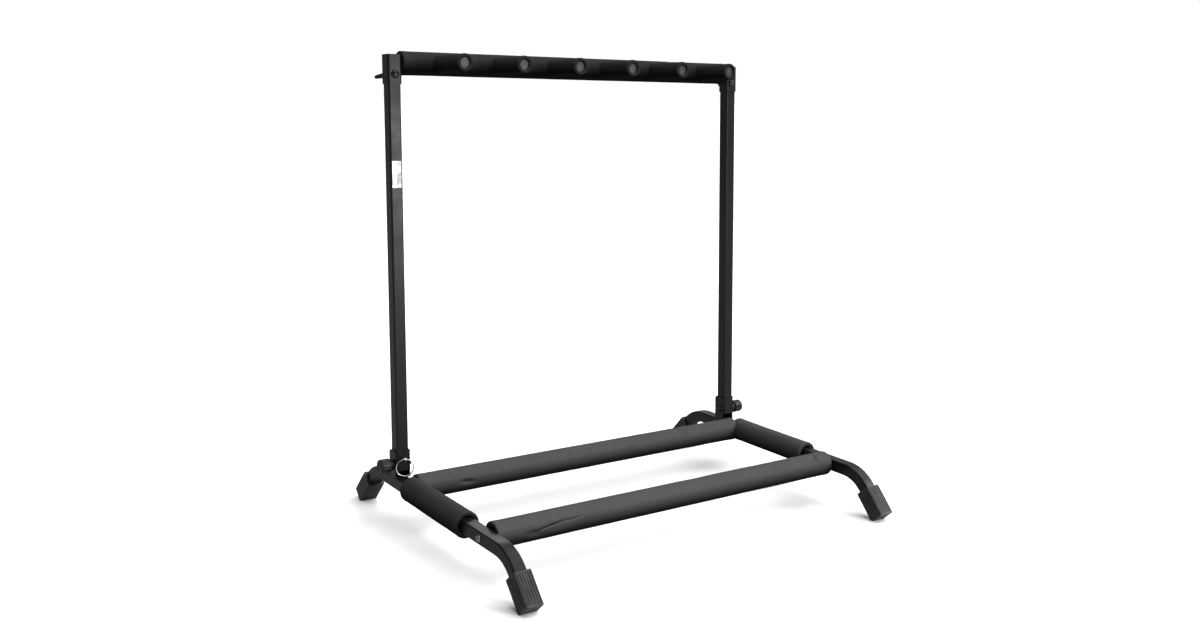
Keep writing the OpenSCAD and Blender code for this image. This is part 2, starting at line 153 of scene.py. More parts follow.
def powder_coat(name, dark, light, rough, gloss):
    """Sprayed and baked black paint: orange peel, soft cloudiness, a few faint scuffs, thin gloss."""
    material, tree, paint, place = new_material(name)
    clouds = noise_at(tree, place, 8, 3)
    scuffs = remap(tree, noise_at(tree, place, 70, 6, 0.7), 0.62, 0.80, 0.0, 0.35)
    colour = mix_colour(tree, clouds, grey(dark), grey(light, 1.03))
    colour = mix_colour(tree, scuffs, colour, grey(light * 2.2))
    tree.links.new(colour, paint.inputs["Base Color"])
    paint.inputs["Roughness"].default_value = 0.7
    paint.inputs["Specular IOR Level"].default_value = 0.03
    peel = bump(tree, noise_at(tree, place, 900, 2), 0.30, 0.00008)
    fine = bump(tree, noise_at(tree, place, 3000, 2), 0.15, 0.00003, peel)
    tree.links.new(fine, paint.inputs["Normal"])
    thin_gloss(tree, paint, place, gloss, rough, fine)
    return material


def thin_gloss(tree, skin, place, weight, rough, normal):
    """A clear top layer whose roughness drifts a little."""
    skin.inputs["Coat Weight"].default_value = weight
    drift = remap(tree, noise_at(tree, place, 24, 5, 0.6), 0.3, 0.7, rough - 0.05, rough + 0.06)
    tree.links.new(drift, skin.inputs["Coat Roughness"])
    tree.links.new(normal, skin.inputs["Coat Normal"])


def foam_skin(name, dark, light, sheen):
    """Closed-cell foam: fine cells, mottled charcoal, a dusty sheen, and painted shade that darkens the underside.
    """
    material, tree, skin, place = new_material(name)
    clouds = noise_at(tree, place, 16, 5, 0.6)
    specks = remap(tree, noise_at(tree, place, 1500, 2, 0.7), 0.35, 0.68, 0.0, 1.0)
    handled = remap(tree, noise_at(tree, place, 28, 6, 0.7), 0.56, 0.74, 0.0, 0.45)
    colour = mix_colour(tree, clouds, grey(dark), grey(light, 1.02))
    colour = mix_colour(tree, multiply(tree, specks, 0.35), colour, grey(light * 1.7, 1.02))
    colour = mix_colour(tree, handled, colour, grey(dark * 0.7))
    # Painted shade: the colour darkens to nearly black on the underside, following the surface normal
    facing = shader(tree, "TexCoord").outputs["Normal"]
    upward = shader(tree, "SeparateXYZ", {"Vector": facing}).outputs["Z"]
    painted_underside_shade = remap(tree, upward, -0.5, 0.5, 0.96, 0.0)
    colour = mix_colour(tree, painted_underside_shade, colour, grey(dark * 0.12))
    tree.links.new(colour, skin.inputs["Base Color"])
    skin.inputs["Roughness"].default_value = 0.88
    skin.inputs["Specular IOR Level"].default_value = 0.0
    skin.inputs["Sheen Weight"].default_value = sheen
    skin.inputs["Sheen Roughness"].default_value = 0.45
    cells = shader(tree, "TexVoronoi", {"Vector": place, "Scale": 1100}).outputs["Distance"]
    pores = bump(tree, cells, 0.35, 0.00022)
    soft = bump(tree, noise_at(tree, place, 160, 3), 0.25, 0.0006, pores)
    tree.links.new(bump(tree, noise_at(tree, place, 2600, 2), 0.30, 0.00012, soft), skin.inputs["Normal"])
    return material


def moulded(name, dark, light, rough, grain, gloss, dust=0.0, wear_and_highlight=0.35, crest=2.2):
    """Moulded rubber or plastic: fine spark grain, soft colour variation, dust near the floor, and lighter convex
    edges that are partly wear and partly a painted highlight.
    """
    material, tree, skin, place = new_material(name)
    clouds = noise_at(tree, place, 40, 4)
    colour = mix_colour(tree, clouds, grey(dark), grey(light))
    if dust:
        height = shader(tree, "SeparateXYZ", {"Vector": place}).outputs["Z"]
        low = remap(tree, height, 0.0, 0.030, dust, 0.0)
        dusty = multiply(tree, low, remap(tree, noise_at(tree, place, 130, 5, 0.7), 0.4, 0.7, 0.2, 1.0))
        colour = mix_colour(tree, dusty, colour, (0.16, 0.15, 0.14, 1))
    # Convex edges and rib crests are lightened: partly wear, partly a painted highlight
    colour = mix_colour(tree, edge_wear_and_highlight(tree, place, 0.51, 0.58, wear_and_highlight), colour, grey(light * crest))
    tree.links.new(colour, skin.inputs["Base Color"])
    skin.inputs["Roughness"].default_value = 0.7
    skin.inputs["Specular IOR Level"].default_value = 0.03
    grained = bump(tree, noise_at(tree, place, 1700, 2), grain, 0.00010)
    tree.links.new(grained, skin.inputs["Normal"])
    thin_gloss(tree, skin, place, gloss, rough, grained)
    return material


def plated(name, tone, rough, streaks=(1, 1, 1)):
    """Zinc or nickel on steel: bright, slightly cloudy, with hairline rolling marks."""
    material, tree, metal, place = new_material(name)
    clouds = noise_at(tree, place, 220, 4, 0.6)
    colour = mix_colour(tree, clouds, grey(tone * 0.82, 1.02), grey(tone, 1.04))
    stains = remap(tree, noise_at(tree, place, 420, 5, 0.7), 0.58, 0.78, 0.0, 0.5)
    colour = mix_colour(tree, stains, colour, grey(tone * 0.45))
    tree.links.new(colour, metal.inputs["Base Color"])
    metal.inputs["Metallic"].default_value = 1.0
    roughness = remap(tree, clouds, 0.3, 0.7, rough - 0.06, rough + 0.10)
    tree.links.new(roughness, metal.inputs["Roughness"])
    lines = noise_at(tree, place, 1600, 2, 0.5, streaks)
    tree.links.new(bump(tree, lines, 0.18, 0.00005), metal.inputs["Normal"])
    return material


def sticker(name, low):
    """A plain dark film with one blank pale band and no printing."""
    material, tree, film, place = new_material(name)
    across = shader(tree, "SeparateXYZ", {"Vector": place}).outputs["X"]
    band_start, band_end = low.x + 0.0009, low.x + 0.0062
    inside = multiply(tree, remap(tree, across, band_start - 0.00005, band_start + 0.00005, 0.0, 1.0),
                      remap(tree, across, band_end - 0.00005, band_end + 0.00005, 1.0, 0.0))
    scuffs = remap(tree, noise_at(tree, place, 500, 5, 0.7), 0.55, 0.8, 0.0, 0.3)
    dark = mix_colour(tree, scuffs, grey(0.016), grey(0.05))
    pale = mix_colour(tree, scuffs, grey(0.80), grey(0.62))
    tree.links.new(mix_colour(tree, inside, dark, pale), film.inputs["Base Color"])
    roughness = remap(tree, noise_at(tree, place, 120, 4), 0.3, 0.7, 0.22, 0.38)
    tree.links.new(roughness, film.inputs["Roughness"])
    tree.links.new(bump(tree, noise_at(tree, place, 300, 3), 0.15, 0.00008), film.inputs["Normal"])
    return material


MATERIALS = {
    "powder_coated_steel": powder_coat("black_powder_coat", 0.002, 0.004, 0.30, 0.15),
    "foam": foam_skin("charcoal_foam", 0.025, 0.034, 0.006),
    # The foot's strong crest lightening is partly wear and partly a painted highlight on its ribs
    "foot_rubber": moulded("foot_rubber", 0.005, 0.009, 0.42, 0.30, 0.22, dust=0.25, wear_and_highlight=0.6, crest=3.2),
    "zinc_plated_steel": plated("zinc_plate", 0.62, 0.30),
    "bright_steel": plated("bright_plate", 0.40, 0.22),
    "black_plastic": moulded("black_nylon", 0.003, 0.006, 0.30, 0.15, 0.20),
    "black_steel": powder_coat("black_oxide", 0.002, 0.004, 0.20, 0.22),
    "grey_plastic": moulded("grey_polyethylene", 0.016, 0.030, 0.36, 0.2, 0.15),
    "label_film": sticker("plain_label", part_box("blank_label")[0]),
}
WELD = powder_coat("painted_weld", 0.003, 0.006, 0.30, 0.25)
# A much darker copy of the charcoal foam: painted shade for the top bar and the pegs
TOP_FOAM_PAINTED_SHADE = foam_skin("foam_with_deep_painted_shade", 0.011, 0.017, 0.006)
# A darker copy of the charcoal foam: painted shade for the left side sleeve
LEFT_FOAM_PAINTED_SHADE = foam_skin("foam_with_painted_shade", 0.014, 0.020, 0.006)
# A dark copy of the zinc plate: painted shade for the lock pin and the crossbar bolt heads
ZINC_PAINTED_SHADE = plated("zinc_with_painted_shade", 0.13, 0.28)
NODE_SLOTS = {part["node"]: part["material_slot"] for part in frame["record"]["subparts"]}


def paint_cad_nodes():
    """Each CAD node gets its material, and feet, brackets, sockets, uprights, washers and the label get a fine
    bevel so that their edges catch the light.
    """
    softened = {"foot": 0.2, "bracket": 0.35, "socket": 0.4, "upright": 0.3, "washers": 0.15, "label": 0.05}
    for name, obj in frame["nodes"].items():
        obj.data.materials.clear()
        # The lock pin takes the dark zinc copy, which is painted shade
        obj.data.materials.append(ZINC_PAINTED_SHADE if name == "lock_pin" else MATERIALS[NODE_SLOTS[name]])
        for word, width in softened.items():
            if word in name and "plug" not in name and "rivet" not in name:
                edge = obj.modifiers.new("soft_edges", "BEVEL")
                edge.width = width * MM
                edge.segments = 2
                edge.limit_method = "ANGLE"
                edge.angle_limit = math.radians(50)
                edge.harden_normals = False
                break


# ---- mesh building ----


def place_at(origin, along, across):
    """Local Z runs along, local X runs across."""
    third = along.cross(across)
    return Matrix.Translation(origin) @ Matrix((across, third, along)).transposed().to_4x4()


def add_piece(name, points, faces, slot, body, replaced=(), material=None, sharp=40):
    mesh = bpy.data.meshes.new(name)
    mesh.from_pydata([tuple(p) for p in points], [], faces)
    mesh.materials.append(material or MATERIALS[slot])
    mesh.polygons.foreach_set("use_smooth", [True] * len(mesh.polygons))
    mesh.update()
    mesh.set_sharp_from_angle(angle=math.radians(sharp))
    obj = bpy.data.objects.new(name, mesh)
    bpy.context.scene.collection.objects.link(obj)
    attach(obj, body)
    if replaced:
        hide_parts(*replaced)
    return obj


def turned(profile, place, steps, shape=None, ring=False):
    """A profile of (radius, height) turned about local Z. A radius of 0 closes to a point.
    shape(radius, height, angle) may move a point. ring joins the last profile point to the first."""
    points, rows, faces = [], [], []
    for radius, height in profile:
        if radius == 0:
            rows.append([len(points)] * steps)
            points.append(place @ Vector((0, 0, height)))
            continue
        row = []
        for k in range(steps):
            angle = TAU * k / steps
            r, h = shape(radius, height, angle) if shape else (radius, height)
            row.append(len(points))
            points.append(place @ Vector((r * math.cos(angle), r * math.sin(angle), h)))
        rows.append(row)
    for i in range(len(rows) if ring else len(rows) - 1):
        low, high = rows[i], rows[(i + 1) % len(rows)]
        for k in range(steps):
            n = (k + 1) % steps
            face = [low[k], low[n], high[n], high[k]]
            face = [p for j, p in enumerate(face) if p not in face[:j]]
            faces.append(face)
    return points, faces


def joined(*parts):
    points, faces = [], []
    for part_points, part_faces in parts:
        start = len(points)
        points += part_points
        faces += [[start + i for i in face] for face in part_faces]
    return points, faces


def smoothstep(low, high, value):
    t = min(max((value - low) / (high - low), 0.0), 1.0)
    return t * t * (3 - 2 * t)


# ---- foam ----

RIM = 1.6 * MM
LIP = 0.4 * MM
TRIM_REACH = 26 * MM
SIDE_SLEEVE_BORE = 13.5 * MM


def sleeve_profile(outer, inner, start, end, step):
    """Closed outline of a sleeve's wall: front face, rounded rims, skin, back face and bore."""
    arc = [math.radians(90 * i / 4) for i in range(5)]
    skin_steps = max(int((end - start - 2 * RIM) / step), 2)
    length = end - start - 2 * RIM
    profile = [(inner, start + LIP), (inner + LIP, start)]
    profile += [((inner + outer) / 2, start)]
    profile += [(outer - RIM + RIM * math.sin(a), start + RIM - RIM * math.cos(a)) for a in arc]
    profile += [(outer, start + RIM + length * i / skin_steps) for i in range(1, skin_steps)]
    profile += [(outer - RIM + RIM * math.cos(a), end - RIM + RIM * math.sin(a)) for a in arc]
    profile += [((inner + outer) / 2, end), (inner + LIP, end), (inner, end - LIP)]
    bore_steps = 6
    profile += [(inner, end + (start - end) * i / bore_steps) for i in range(1, bore_steps)]
    return profile


def foam_sleeve(name, node, body, place, outer, inner, start, end, dents=(), seed=0, trim_start=None,
                steps=72, step=4 * MM, swell=0.25 * MM, material=None):
    """A foam tube with a slightly uneven skin, along local Z from start to end.
    dents are (height, angle in degrees, length, width, depth, tilt), and a negative depth is a bump.
    trim_start gives where the sleeve starts over a point of its section."""

    def skin(height, angle):
        around = Vector((math.cos(angle), math.sin(angle), 0)) * 1.1
        slow = noise.noise(around + Vector((seed * 7.1, 0, height * 14)))
        fine = noise.noise(around * 3 + Vector((0, seed * 3.3, height * 60)))
        lift = swell * (0.65 * slow + 0.35 * fine)
        for at, degrees, length, width, depth, tilt in dents:
            along = height - at
            turn = (angle - math.radians(degrees) + math.pi) % TAU - math.pi
            side = turn * outer
            p = (along * math.cos(tilt) + side * math.sin(tilt)) / length
            q = (-along * math.sin(tilt) + side * math.cos(tilt)) / width
            lift -= depth * (1 - 0.45 * q * q) * math.exp(-(p * p) - q * q)
        edge = min(height - start, end - height)
        lift += 0.35 * MM * math.exp(-((edge - 5 * MM) / (5 * MM)) ** 2)
        return lift

    def shape(radius, height, angle):
        share = (radius - inner) / (outer - inner)
        r = radius + share * skin(height, angle) if share > 0 else radius
        h = height
        x, y = r * math.cos(angle), r * math.sin(angle)
        if trim_start:
            h += (1 - smoothstep(start, start + TRIM_REACH, height)) * (trim_start(x, y) - start)
        return r, h

    points, faces = turned(sleeve_profile(outer, inner, start, end, step), place, steps, shape, ring=True)
    obj = add_piece(name, points, faces, "foam", body, [node], material, sharp=60)
    return obj


def crossbar_foams():
    dents = {
        "front": [
            (-0.232, 168, 22 * MM, 1.9 * MM, 2.2 * MM, -0.16),
            (-0.196, 160, 16 * MM, 1.6 * MM, 1.2 * MM, -0.10),
            (-0.226, 175, 26 * MM, 7 * MM, 1.2 * MM, -0.1),
            (-0.262, 186, 11 * MM, 5 * MM, 1.4 * MM, 0.2),
            (0.284, 122, 4 * MM, 8 * MM, 3.0 * MM, 0.5),
            (0.293, 128, 4 * MM, 6 * MM, -1.4 * MM, 0.3),
            (0.040, 60, 24 * MM, 5 * MM, 0.5 * MM, 0.15),
            (0.150, 95, 14 * MM, 4 * MM, 0.4 * MM, -0.3),
        ],
        "rear": [
            (-0.240, 178, 11 * MM, 4 * MM, 2.4 * MM, 0.1),
            (0.110, 150, 18 * MM, 4 * MM, 0.5 * MM, -0.2),
            (-0.060, 100, 20 * MM, 6 * MM, 0.4 * MM, 0.2),
            (0.262, 130, 9 * MM, 4 * MM, 0.6 * MM, 0.5),
        ],
    }
    for seed, (side, marks) in enumerate(dents.items()):
        node = side + "_crossbar_foam"
        low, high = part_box(node)
        middle = (low + high) / 2
        tube_low, tube_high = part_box(side + "_crossbar_tube")
        # Angle 0 points to the back and 90 degrees up
        place = place_at(Vector((0, middle.y, middle.z)), X, Y)
        outer, inner = (high.z - low.z) / 2, (tube_high.z - tube_low.z) / 2
        foam_sleeve(side + "_crossbar_sleeve", node, "base", place, outer, inner, low.x, high.x, marks,
                    seed=seed + 1, steps=144, step=2.5 * MM)


def side_foams():
    rear_low, rear_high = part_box("rear_crossbar_foam")
    bar_y, bar_z = (rear_low.y + rear_high.y) / 2, (rear_low.z + rear_high.z) / 2
    press = (rear_high.z - rear_low.z) / 2 + 0.3 * MM
    for seed, side in enumerate((-1, 1)):
        name = ("left" if side < 0 else "right") + "_side"
        low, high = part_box(name + "_foam")
        centre_x = (low.x + high.x) / 2
        inner_edge = abs(centre_x) - rear_high.x - 0.5 * MM
        start, end = bar_y - high.y, bar_y - low.y

        def scoop(x, z, start=start, side=side, inner_edge=inner_edge):
            """The rear crossbar's foam presses into the inner half of this end."""
            depth = math.sqrt(max(press * press - z * z, start * start))
            inside = smoothstep(inner_edge - 0.6 * MM, inner_edge + 0.6 * MM, -side * x)
            return start + (depth - start) * inside

        place = place_at(Vector((centre_x, bar_y, bar_z)), -Y, X)
        marks = [(start + 0.062, 60, 14 * MM, 5 * MM, 0.6 * MM, 0.2),
                 (start + 0.120, 140, 18 * MM, 4 * MM, 0.5 * MM, -0.2)]
        # The left sleeve takes the darker foam copy, which is painted shade
        foam_sleeve(name + "_sleeve", name + "_foam", "base", place, (high.z - low.z) / 2, SIDE_SLEEVE_BORE,
                    start, end, marks, seed=seed + 5, trim_start=scoop,
                    material=LEFT_FOAM_PAINTED_SHADE if side < 0 else None)


def neck_foams():
    low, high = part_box("top_bar_foam")
    outer = (extent("top_bar_foam", BAR, UP)[1] - extent("top_bar_foam", BAR, UP)[0]) / 2
    tube = extent("top_bar_tube", BAR, UP)[1]
    marks = [(-0.17, 200, 15 * MM, 4 * MM, 0.4 * MM, 0.2), (0.07, 215, 12 * MM, 4 * MM, 0.4 * MM, 0.0),
             (0.20, 100, 16 * MM, 5 * MM, 0.5 * MM, 0.3)]
    # Angle 0 points to the back and 90 degrees up
    place = place_at(BAR, X, BACK)
    # The top bar's sleeve takes the darker foam copy, which is painted shade
    foam_sleeve("top_bar_sleeve", "top_bar_foam", "upper_frame", place, outer, tube, low.x, high.x, marks,
                seed=11, material=TOP_FOAM_PAINTED_SHADE)
    for n in range(1, 7):
        node = f"peg_foam_{n}"
        middle = box_centre(node)
        origin = Vector((middle.x, BAR.y, BAR.z))
        forward = (box_centre(f"peg_plug_{n}") - origin).normalized()
        radius = extent(node, origin, X)[1]
        tip = extent(node, origin, forward)[1]
        tube_radius = extent(f"neck_peg_{n}", origin, X)[1]
        seat = outer + 0.1 * MM

        def saddle(x, y, seat=seat):
            return math.sqrt(max(seat * seat - y * y, 0.0))

        start = saddle(0, radius)
        # Local X runs to the right, local Y up
        place = place_at(origin, forward, X)
        dents = [(0.045 + 0.006 * n, 70 + 37 * n, 9 * MM, 4 * MM, 0.4 * MM, 0.3 * n)]
        # The peg sleeves take the same darker foam copy: painted shade
        foam_sleeve(f"peg_sleeve_{n}", node, "upper_frame", place, radius, tube_radius, start, tip, dents,
                    seed=20 + n, trim_start=saddle, steps=56, swell=0.2 * MM, material=TOP_FOAM_PAINTED_SHADE)


# ---- hardware ----

# An M6 bolt's radius, and the bore around it
M6 = 3 * MM
M6_BORE = 3.05 * MM


def thread(radius, depth, pitch, start, end, place, steps=28, per_turn=6):
    """A screw thread from start to end, with a chamfered tip at end."""
    rings = int((end - start) / pitch * per_turn)
    points, faces, rows = [], [], []
    for i in range(rings + 1):
        height = start + (end - start) * i / rings
        row = []
        for k in range(steps):
            angle = TAU * k / steps
            phase = (height / pitch - k / steps) % 1.0
            ridge = 1 - abs(2 * phase - 1)
            r = radius - depth * (1 - smoothstep(0.1, 0.9, ridge))
            r = min(r, radius - 1.2 * depth + (end - height))
            row.append(len(points))
            points.append(place @ Vector((r * math.cos(angle), r * math.sin(angle), height)))
        rows.append(row)
    for low, high in zip(rows, rows[1:]):
        for k in range(steps):
            n = (k + 1) % steps
            faces.append([low[k], low[n], high[n], high[k]])
    faces.append(list(reversed(rows[0])))
    faces.append(rows[-1])
    return points, faces


def dome(radius, height, start, steps=7):
    """Outline of a low dome from its rim to its top."""
    return [(radius * math.cos(math.radians(90 * i / steps)) if i < steps else 0,
             start + height * math.sin(math.radians(90 * i / steps))) for i in range(steps + 1)]


def socket_bolts():
    """Carriage bolts through the top sockets, threaded where the wing nut sits."""
    for name in ("left", "right"):
        nut = Vector(joints[name + "_wing_nut_turn"]["pos_m"])
        face = extent(name + "_top_socket", nut, BACK)[0]
        tip = extent("socket_bolts", nut, BACK)[1]
        place = place_at(nut, BACK, X)
        head_place = place_at(nut, -BACK, X)
        outline = [(M6, -face - 1 * MM), (M6, -face), (6.2 * MM, -face), (6.5 * MM, -face + 0.35 * MM)]
        outline += dome(6.5 * MM, 2.9 * MM, -face + 0.5 * MM)
        head = turned(outline, head_place, 40)
        shank = thread(M6, 0.5 * MM, 1.0 * MM, face + 1 * MM, tip, place)
        points, faces = joined(head, shank)
        add_piece(name + "_carriage_bolt", points, faces, "black_steel", "upper_frame", ["socket_bolts"])


def crossbar_bolts():
    """Button heads with a hexagon socket, one at each end of each crossbar."""
    for bar in ("front", "rear"):
        middle = box_centre(bar + "_crossbar_tube")
        for side in (-1, 1):
            name = "left" if side < 0 else "right"
            leg_low, leg_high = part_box(name + "_side_leg")
            face = leg_high.x if side > 0 else leg_low.x
            place = place_at(Vector((face, middle.y, middle.z)), X * side, Y)
            top = 2.8 * MM
            hexagon = 1.9 * MM

            def shape(radius, height, angle):
                if radius <= 2.6 * MM and height > 0.5 * MM and radius > 1.0 * MM:
                    sector = (angle + math.radians(30)) % math.radians(60) - math.radians(30)
                    return hexagon / math.cos(sector) * (radius / (2.3 * MM)), height
                return radius, height

            outline = [(0, -2 * MM), (M6, -2 * MM), (M6, 0), (4.9 * MM, 0), (5.2 * MM, 0.3 * MM),
                       (5.1 * MM, 0.9 * MM), (4.7 * MM, 1.6 * MM), (4.1 * MM, 2.2 * MM), (3.5 * MM, 2.6 * MM),
                       (2.9 * MM, top), (2.5 * MM, top), (2.3 * MM, top - 0.25 * MM),
                       (2.3 * MM, top - 1.7 * MM), (0, top - 2.1 * MM)]
            points, faces = turned(outline, place, 48, shape)
            # The bolt heads take the dark zinc copy, which is painted shade
            add_piece(f"{bar}_{name}_crossbar_bolt", points, faces, "zinc_plated_steel", "base",
                      ["crossbar_bolts"], ZINC_PAINTED_SHADE)


def clamp_knobs():
    flutes = 10
    for side in (-1, 1):
        name = ("left" if side < 0 else "right") + "_clamp_knob"
        low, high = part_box(name)
        base = low.x if side > 0 else high.x
        length = high.x - low.x
        radius = (high.z - low.z) / 2
        place = place_at(Vector((base, PIVOT.y, PIVOT.z)), X * side, Y)
        grip = 6.6 * MM

        def shape(r, h, angle, length=length):
            share = smoothstep(grip - 1.5 * MM, grip + 1.5 * MM, h) * smoothstep(7.2 * MM, 9.5 * MM, r)
            share *= 1 - 0.75 * smoothstep(length - 2 * MM, length, h)
            scallop = max(math.cos(flutes * angle), -0.2)
            return r - share * 0.5 * MM * smoothstep(-0.2, 1.0, scallop), h

        outline = [(M6_BORE, 0.4 * MM), (3.4 * MM, 0), (7.5 * MM, 0), (8 * MM, 0.5 * MM), (8 * MM, 4.2 * MM),
                   (8.3 * MM, 5.2 * MM), (9.6 * MM, 5.9 * MM), (radius - 0.5 * MM, 6.5 * MM),
                   (radius, 7.4 * MM)]
        outline += [(radius, h * MM) for h in (9, 11.5, 14, 16.5, 19)]
        outline += [(radius - 0.1 * MM, length - 2.6 * MM), (radius - 0.5 * MM, length - 1.3 * MM),
                    (radius - 1.3 * MM, length - 0.4 * MM), (radius - 2.4 * MM, length), (7.6 * MM, length),
                    (7.0 * MM, length - 0.3 * MM), (6.6 * MM, length - 0.8 * MM),
                    (4.6 * MM, length - 0.9 * MM), (4.2 * MM, length - 0.5 * MM), (0, length - 0.4 * MM)]
        outline = [(0, 18.8 * MM), (M6_BORE, 18.7 * MM)] + outline
        points, faces = turned(outline, place, 120, shape)
        add_piece(name + "_grip", points, faces, "black_plastic", name, [name], sharp=50)


def wing(place, steps=24):
    """A thick swept wing, lofted through rounded sections along local X."""
    # Distance from the axis, half thickness, and where the section starts and ends along the axis
    sections = [(2.6, 4.4, 1.2, 7.6), (4.5, 4.2, 1.0, 8.2), (6.5, 4.0, 1.2, 9.4), (8.5, 3.7, 2.2, 10.9),
                (10.5, 3.4, 3.4, 12.2), (12.5, 3.2, 4.7, 13.4), (14.5, 2.9, 6.0, 13.9),
                (16.0, 2.5, 7.0, 13.6), (17.0, 1.9, 8.0, 12.9), (17.6, 1.1, 9.2, 11.8)]
    points, faces = [], []
    for reach, half, low, high in sections:
        for k in range(steps):
            a = TAU * k / steps
            y = half * math.copysign(abs(math.cos(a)) ** 0.6, math.cos(a))
            z = (low + high) / 2 + (high - low) / 2 * math.copysign(abs(math.sin(a)) ** 0.6, math.sin(a))
            points.append(place @ (Vector((reach, y, z)) * MM))
    for i in range(len(sections) - 1):
        for k in range(steps):
            n = (k + 1) % steps
            faces.append([i * steps + k, i * steps + n, (i + 1) * steps + n, (i + 1) * steps + k])
    faces.append(list(range(steps))[::-1])
    faces.append([(len(sections) - 1) * steps + k for k in range(steps)])
    return points, faces


def wing_nuts():
    """Moulded wing nuts, each tightened to its own angle."""
    for name, degrees in (("left_wing_nut", -13), ("right_wing_nut", 57)):
        nut = Vector(joints[name + "_turn"]["pos_m"])
        start = extent(name, nut, BACK)[0]
        place = place_at(nut + BACK * start, BACK, X) @ Matrix.Rotation(math.radians(degrees), 4, "Z")
        outline = [(M6_BORE, 0.5 * MM), (3.5 * MM, 0), (5.6 * MM, 0), (6 * MM, 0.4 * MM), (5.8 * MM, 3 * MM),
                   (5.5 * MM, 6.8 * MM), (5.1 * MM, 7.7 * MM), (4.4 * MM, 8 * MM), (3.4 * MM, 7.9 * MM),
                   (M6_BORE, 7.4 * MM), (M6_BORE, 4 * MM)]
        hub = turned(outline, place, 40, ring=True)
        half_turn = Matrix.Rotation(math.pi, 4, "Z")
        points, faces = joined(hub, wing(place), wing(place @ half_turn))
        add_piece(name + "_wings", points, faces, "black_plastic", name, [name], sharp=55)


def split_ring():
    """A key ring of two flat coils that hangs in the pin's eye."""
    eye = Vector(joints["pull_ring_swing"]["pos_m"])
    vertices = [v.co for v in frame["nodes"]["pull_ring"].data.vertices]
    centre = sum(vertices, Vector()) / len(vertices)
    hang = (centre - eye).normalized()
    # The ring's own axis is the direction in which its vertices spread least
    best = None
    for k in range(-30, 31):
        turn = Matrix.Rotation(math.radians(k), 3, UP)
        axis = turn @ BACK
        spread = max(abs((v - centre).dot(axis)) for v in vertices)
        if best is None or spread < best[0]:
            best = (spread, axis)
    axis = best[1].normalized()
    outer = max((v - centre).length for v in vertices)
    mean = outer - 0.8 * MM
    side = axis.cross(hang).normalized()
    coils, steps, ring_points = 2, 144, 12
    # Half the wire's height along the ring's axis, and half its width across it
    thin, wide = 0.47 * MM, 0.75 * MM
    points, faces = [], []
    for i in range(steps + 1):
        t = i / steps
        angle = TAU * coils * t + math.radians(40)
        # The wire steps over from one coil to the other in a short run
        step = smoothstep(0.47, 0.53, t)
        lift = (step - 0.5) * 2 * 0.5 * MM
        out = -hang * math.cos(angle) + side * math.sin(angle)
        taper = 1 - 0.35 * (1 - smoothstep(0, 0.01, min(t, 1 - t)))
        for k in range(ring_points):
            a = TAU * k / ring_points
            r = mean + wide * taper * math.copysign(abs(math.cos(a)) ** 0.7, math.cos(a))
            h = lift + thin * taper * math.copysign(abs(math.sin(a)) ** 0.7, math.sin(a))
            points.append(centre + out * r + axis * h)
    for i in range(steps):
        for k in range(ring_points):
            n = (k + 1) % ring_points
            a, b = i * ring_points, (i + 1) * ring_points
            faces.append([a + k, a + n, b + n, b + k])
    faces.append(list(range(ring_points))[::-1])
    faces.append([steps * ring_points + k for k in range(ring_points)])
    add_piece("split_pull_ring", points, faces, "bright_steel", "pull_ring", ["pull_ring"], sharp=50)


def weld_bead(name, start, end, radius, seed):
    """A bead of weld with the ripples of its passes, sunk halfway into the joint."""
    along = (end - start).normalized()
    across = along.cross(Z).normalized()
    place = place_at(start, along, across)
    length = (end - start).length
    rings = max(int(length / (0.5 * MM)), 8)
    outline = [(0, 0)]
    for i in range(1, rings):
        t = i / rings
        height = length * t
        round_end = math.sqrt(max(1 - (2 * t - 1) ** 8, 0.05))
        rough = noise.noise(Vector((seed, height * 220, 0)))
        ripple = 1 + 0.10 * math.cos(height / (1.9 * MM) * TAU) + 0.14 * rough
        outline.append((radius * round_end * ripple, height))
    outline.append((0, length))
    points, faces = turned(outline, place, 14)
    return add_piece(name, points, faces, "powder_coated_steel", "base", material=WELD, sharp=80)


def welds():
    """The brackets' floor plates are welded to the legs along both sides and behind."""
    for side in (-1, 1):
        name = "left" if side < 0 else "right"
        leg_low, leg_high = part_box(name + "_side_leg")
        low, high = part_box(name + "_upright_bracket")
        centre_x = (leg_low.x + leg_high.x) / 2
        top = low.z
        for seed, edge in enumerate((-1, 1)):
            x = centre_x + edge * 9.9 * MM
            weld_bead(f"{name}_bracket_weld_{seed + 1}", Vector((x, low.y + 4 * MM, top - 0.3 * MM)),
                      Vector((x, high.y - 5 * MM, top - 0.3 * MM)), 1.3 * MM, seed + 3 * side)
        floor_back = extent(name + "_upright_bracket", Vector((centre_x, PIVOT.y, top)), Y)[1]
        y = PIVOT.y + floor_back
        weld_bead(f"{name}_bracket_weld_3", Vector((centre_x - 8 * MM, y, top + 0.2 * MM)),
                  Vector((centre_x + 8 * MM, y, top + 0.2 * MM)), 1.5 * MM, 9 + side)


# ---- studio ----

SENSOR = 36
LENS = 35.728
SHIFT = (0.0020, -0.0398)
CAMERA_PLACE = (-1.0992, -1.5110, 0.6763)
# Yaw to the right of +Y, pitch down and roll, in degrees
CAMERA_ANGLES = (34.644, 8.454, -1.260)
# The backdrop's white middle is at this azimuth, in degrees to the right of +Y
WHITE_AZIMUTH = 40
FLOOR_REACH = 60


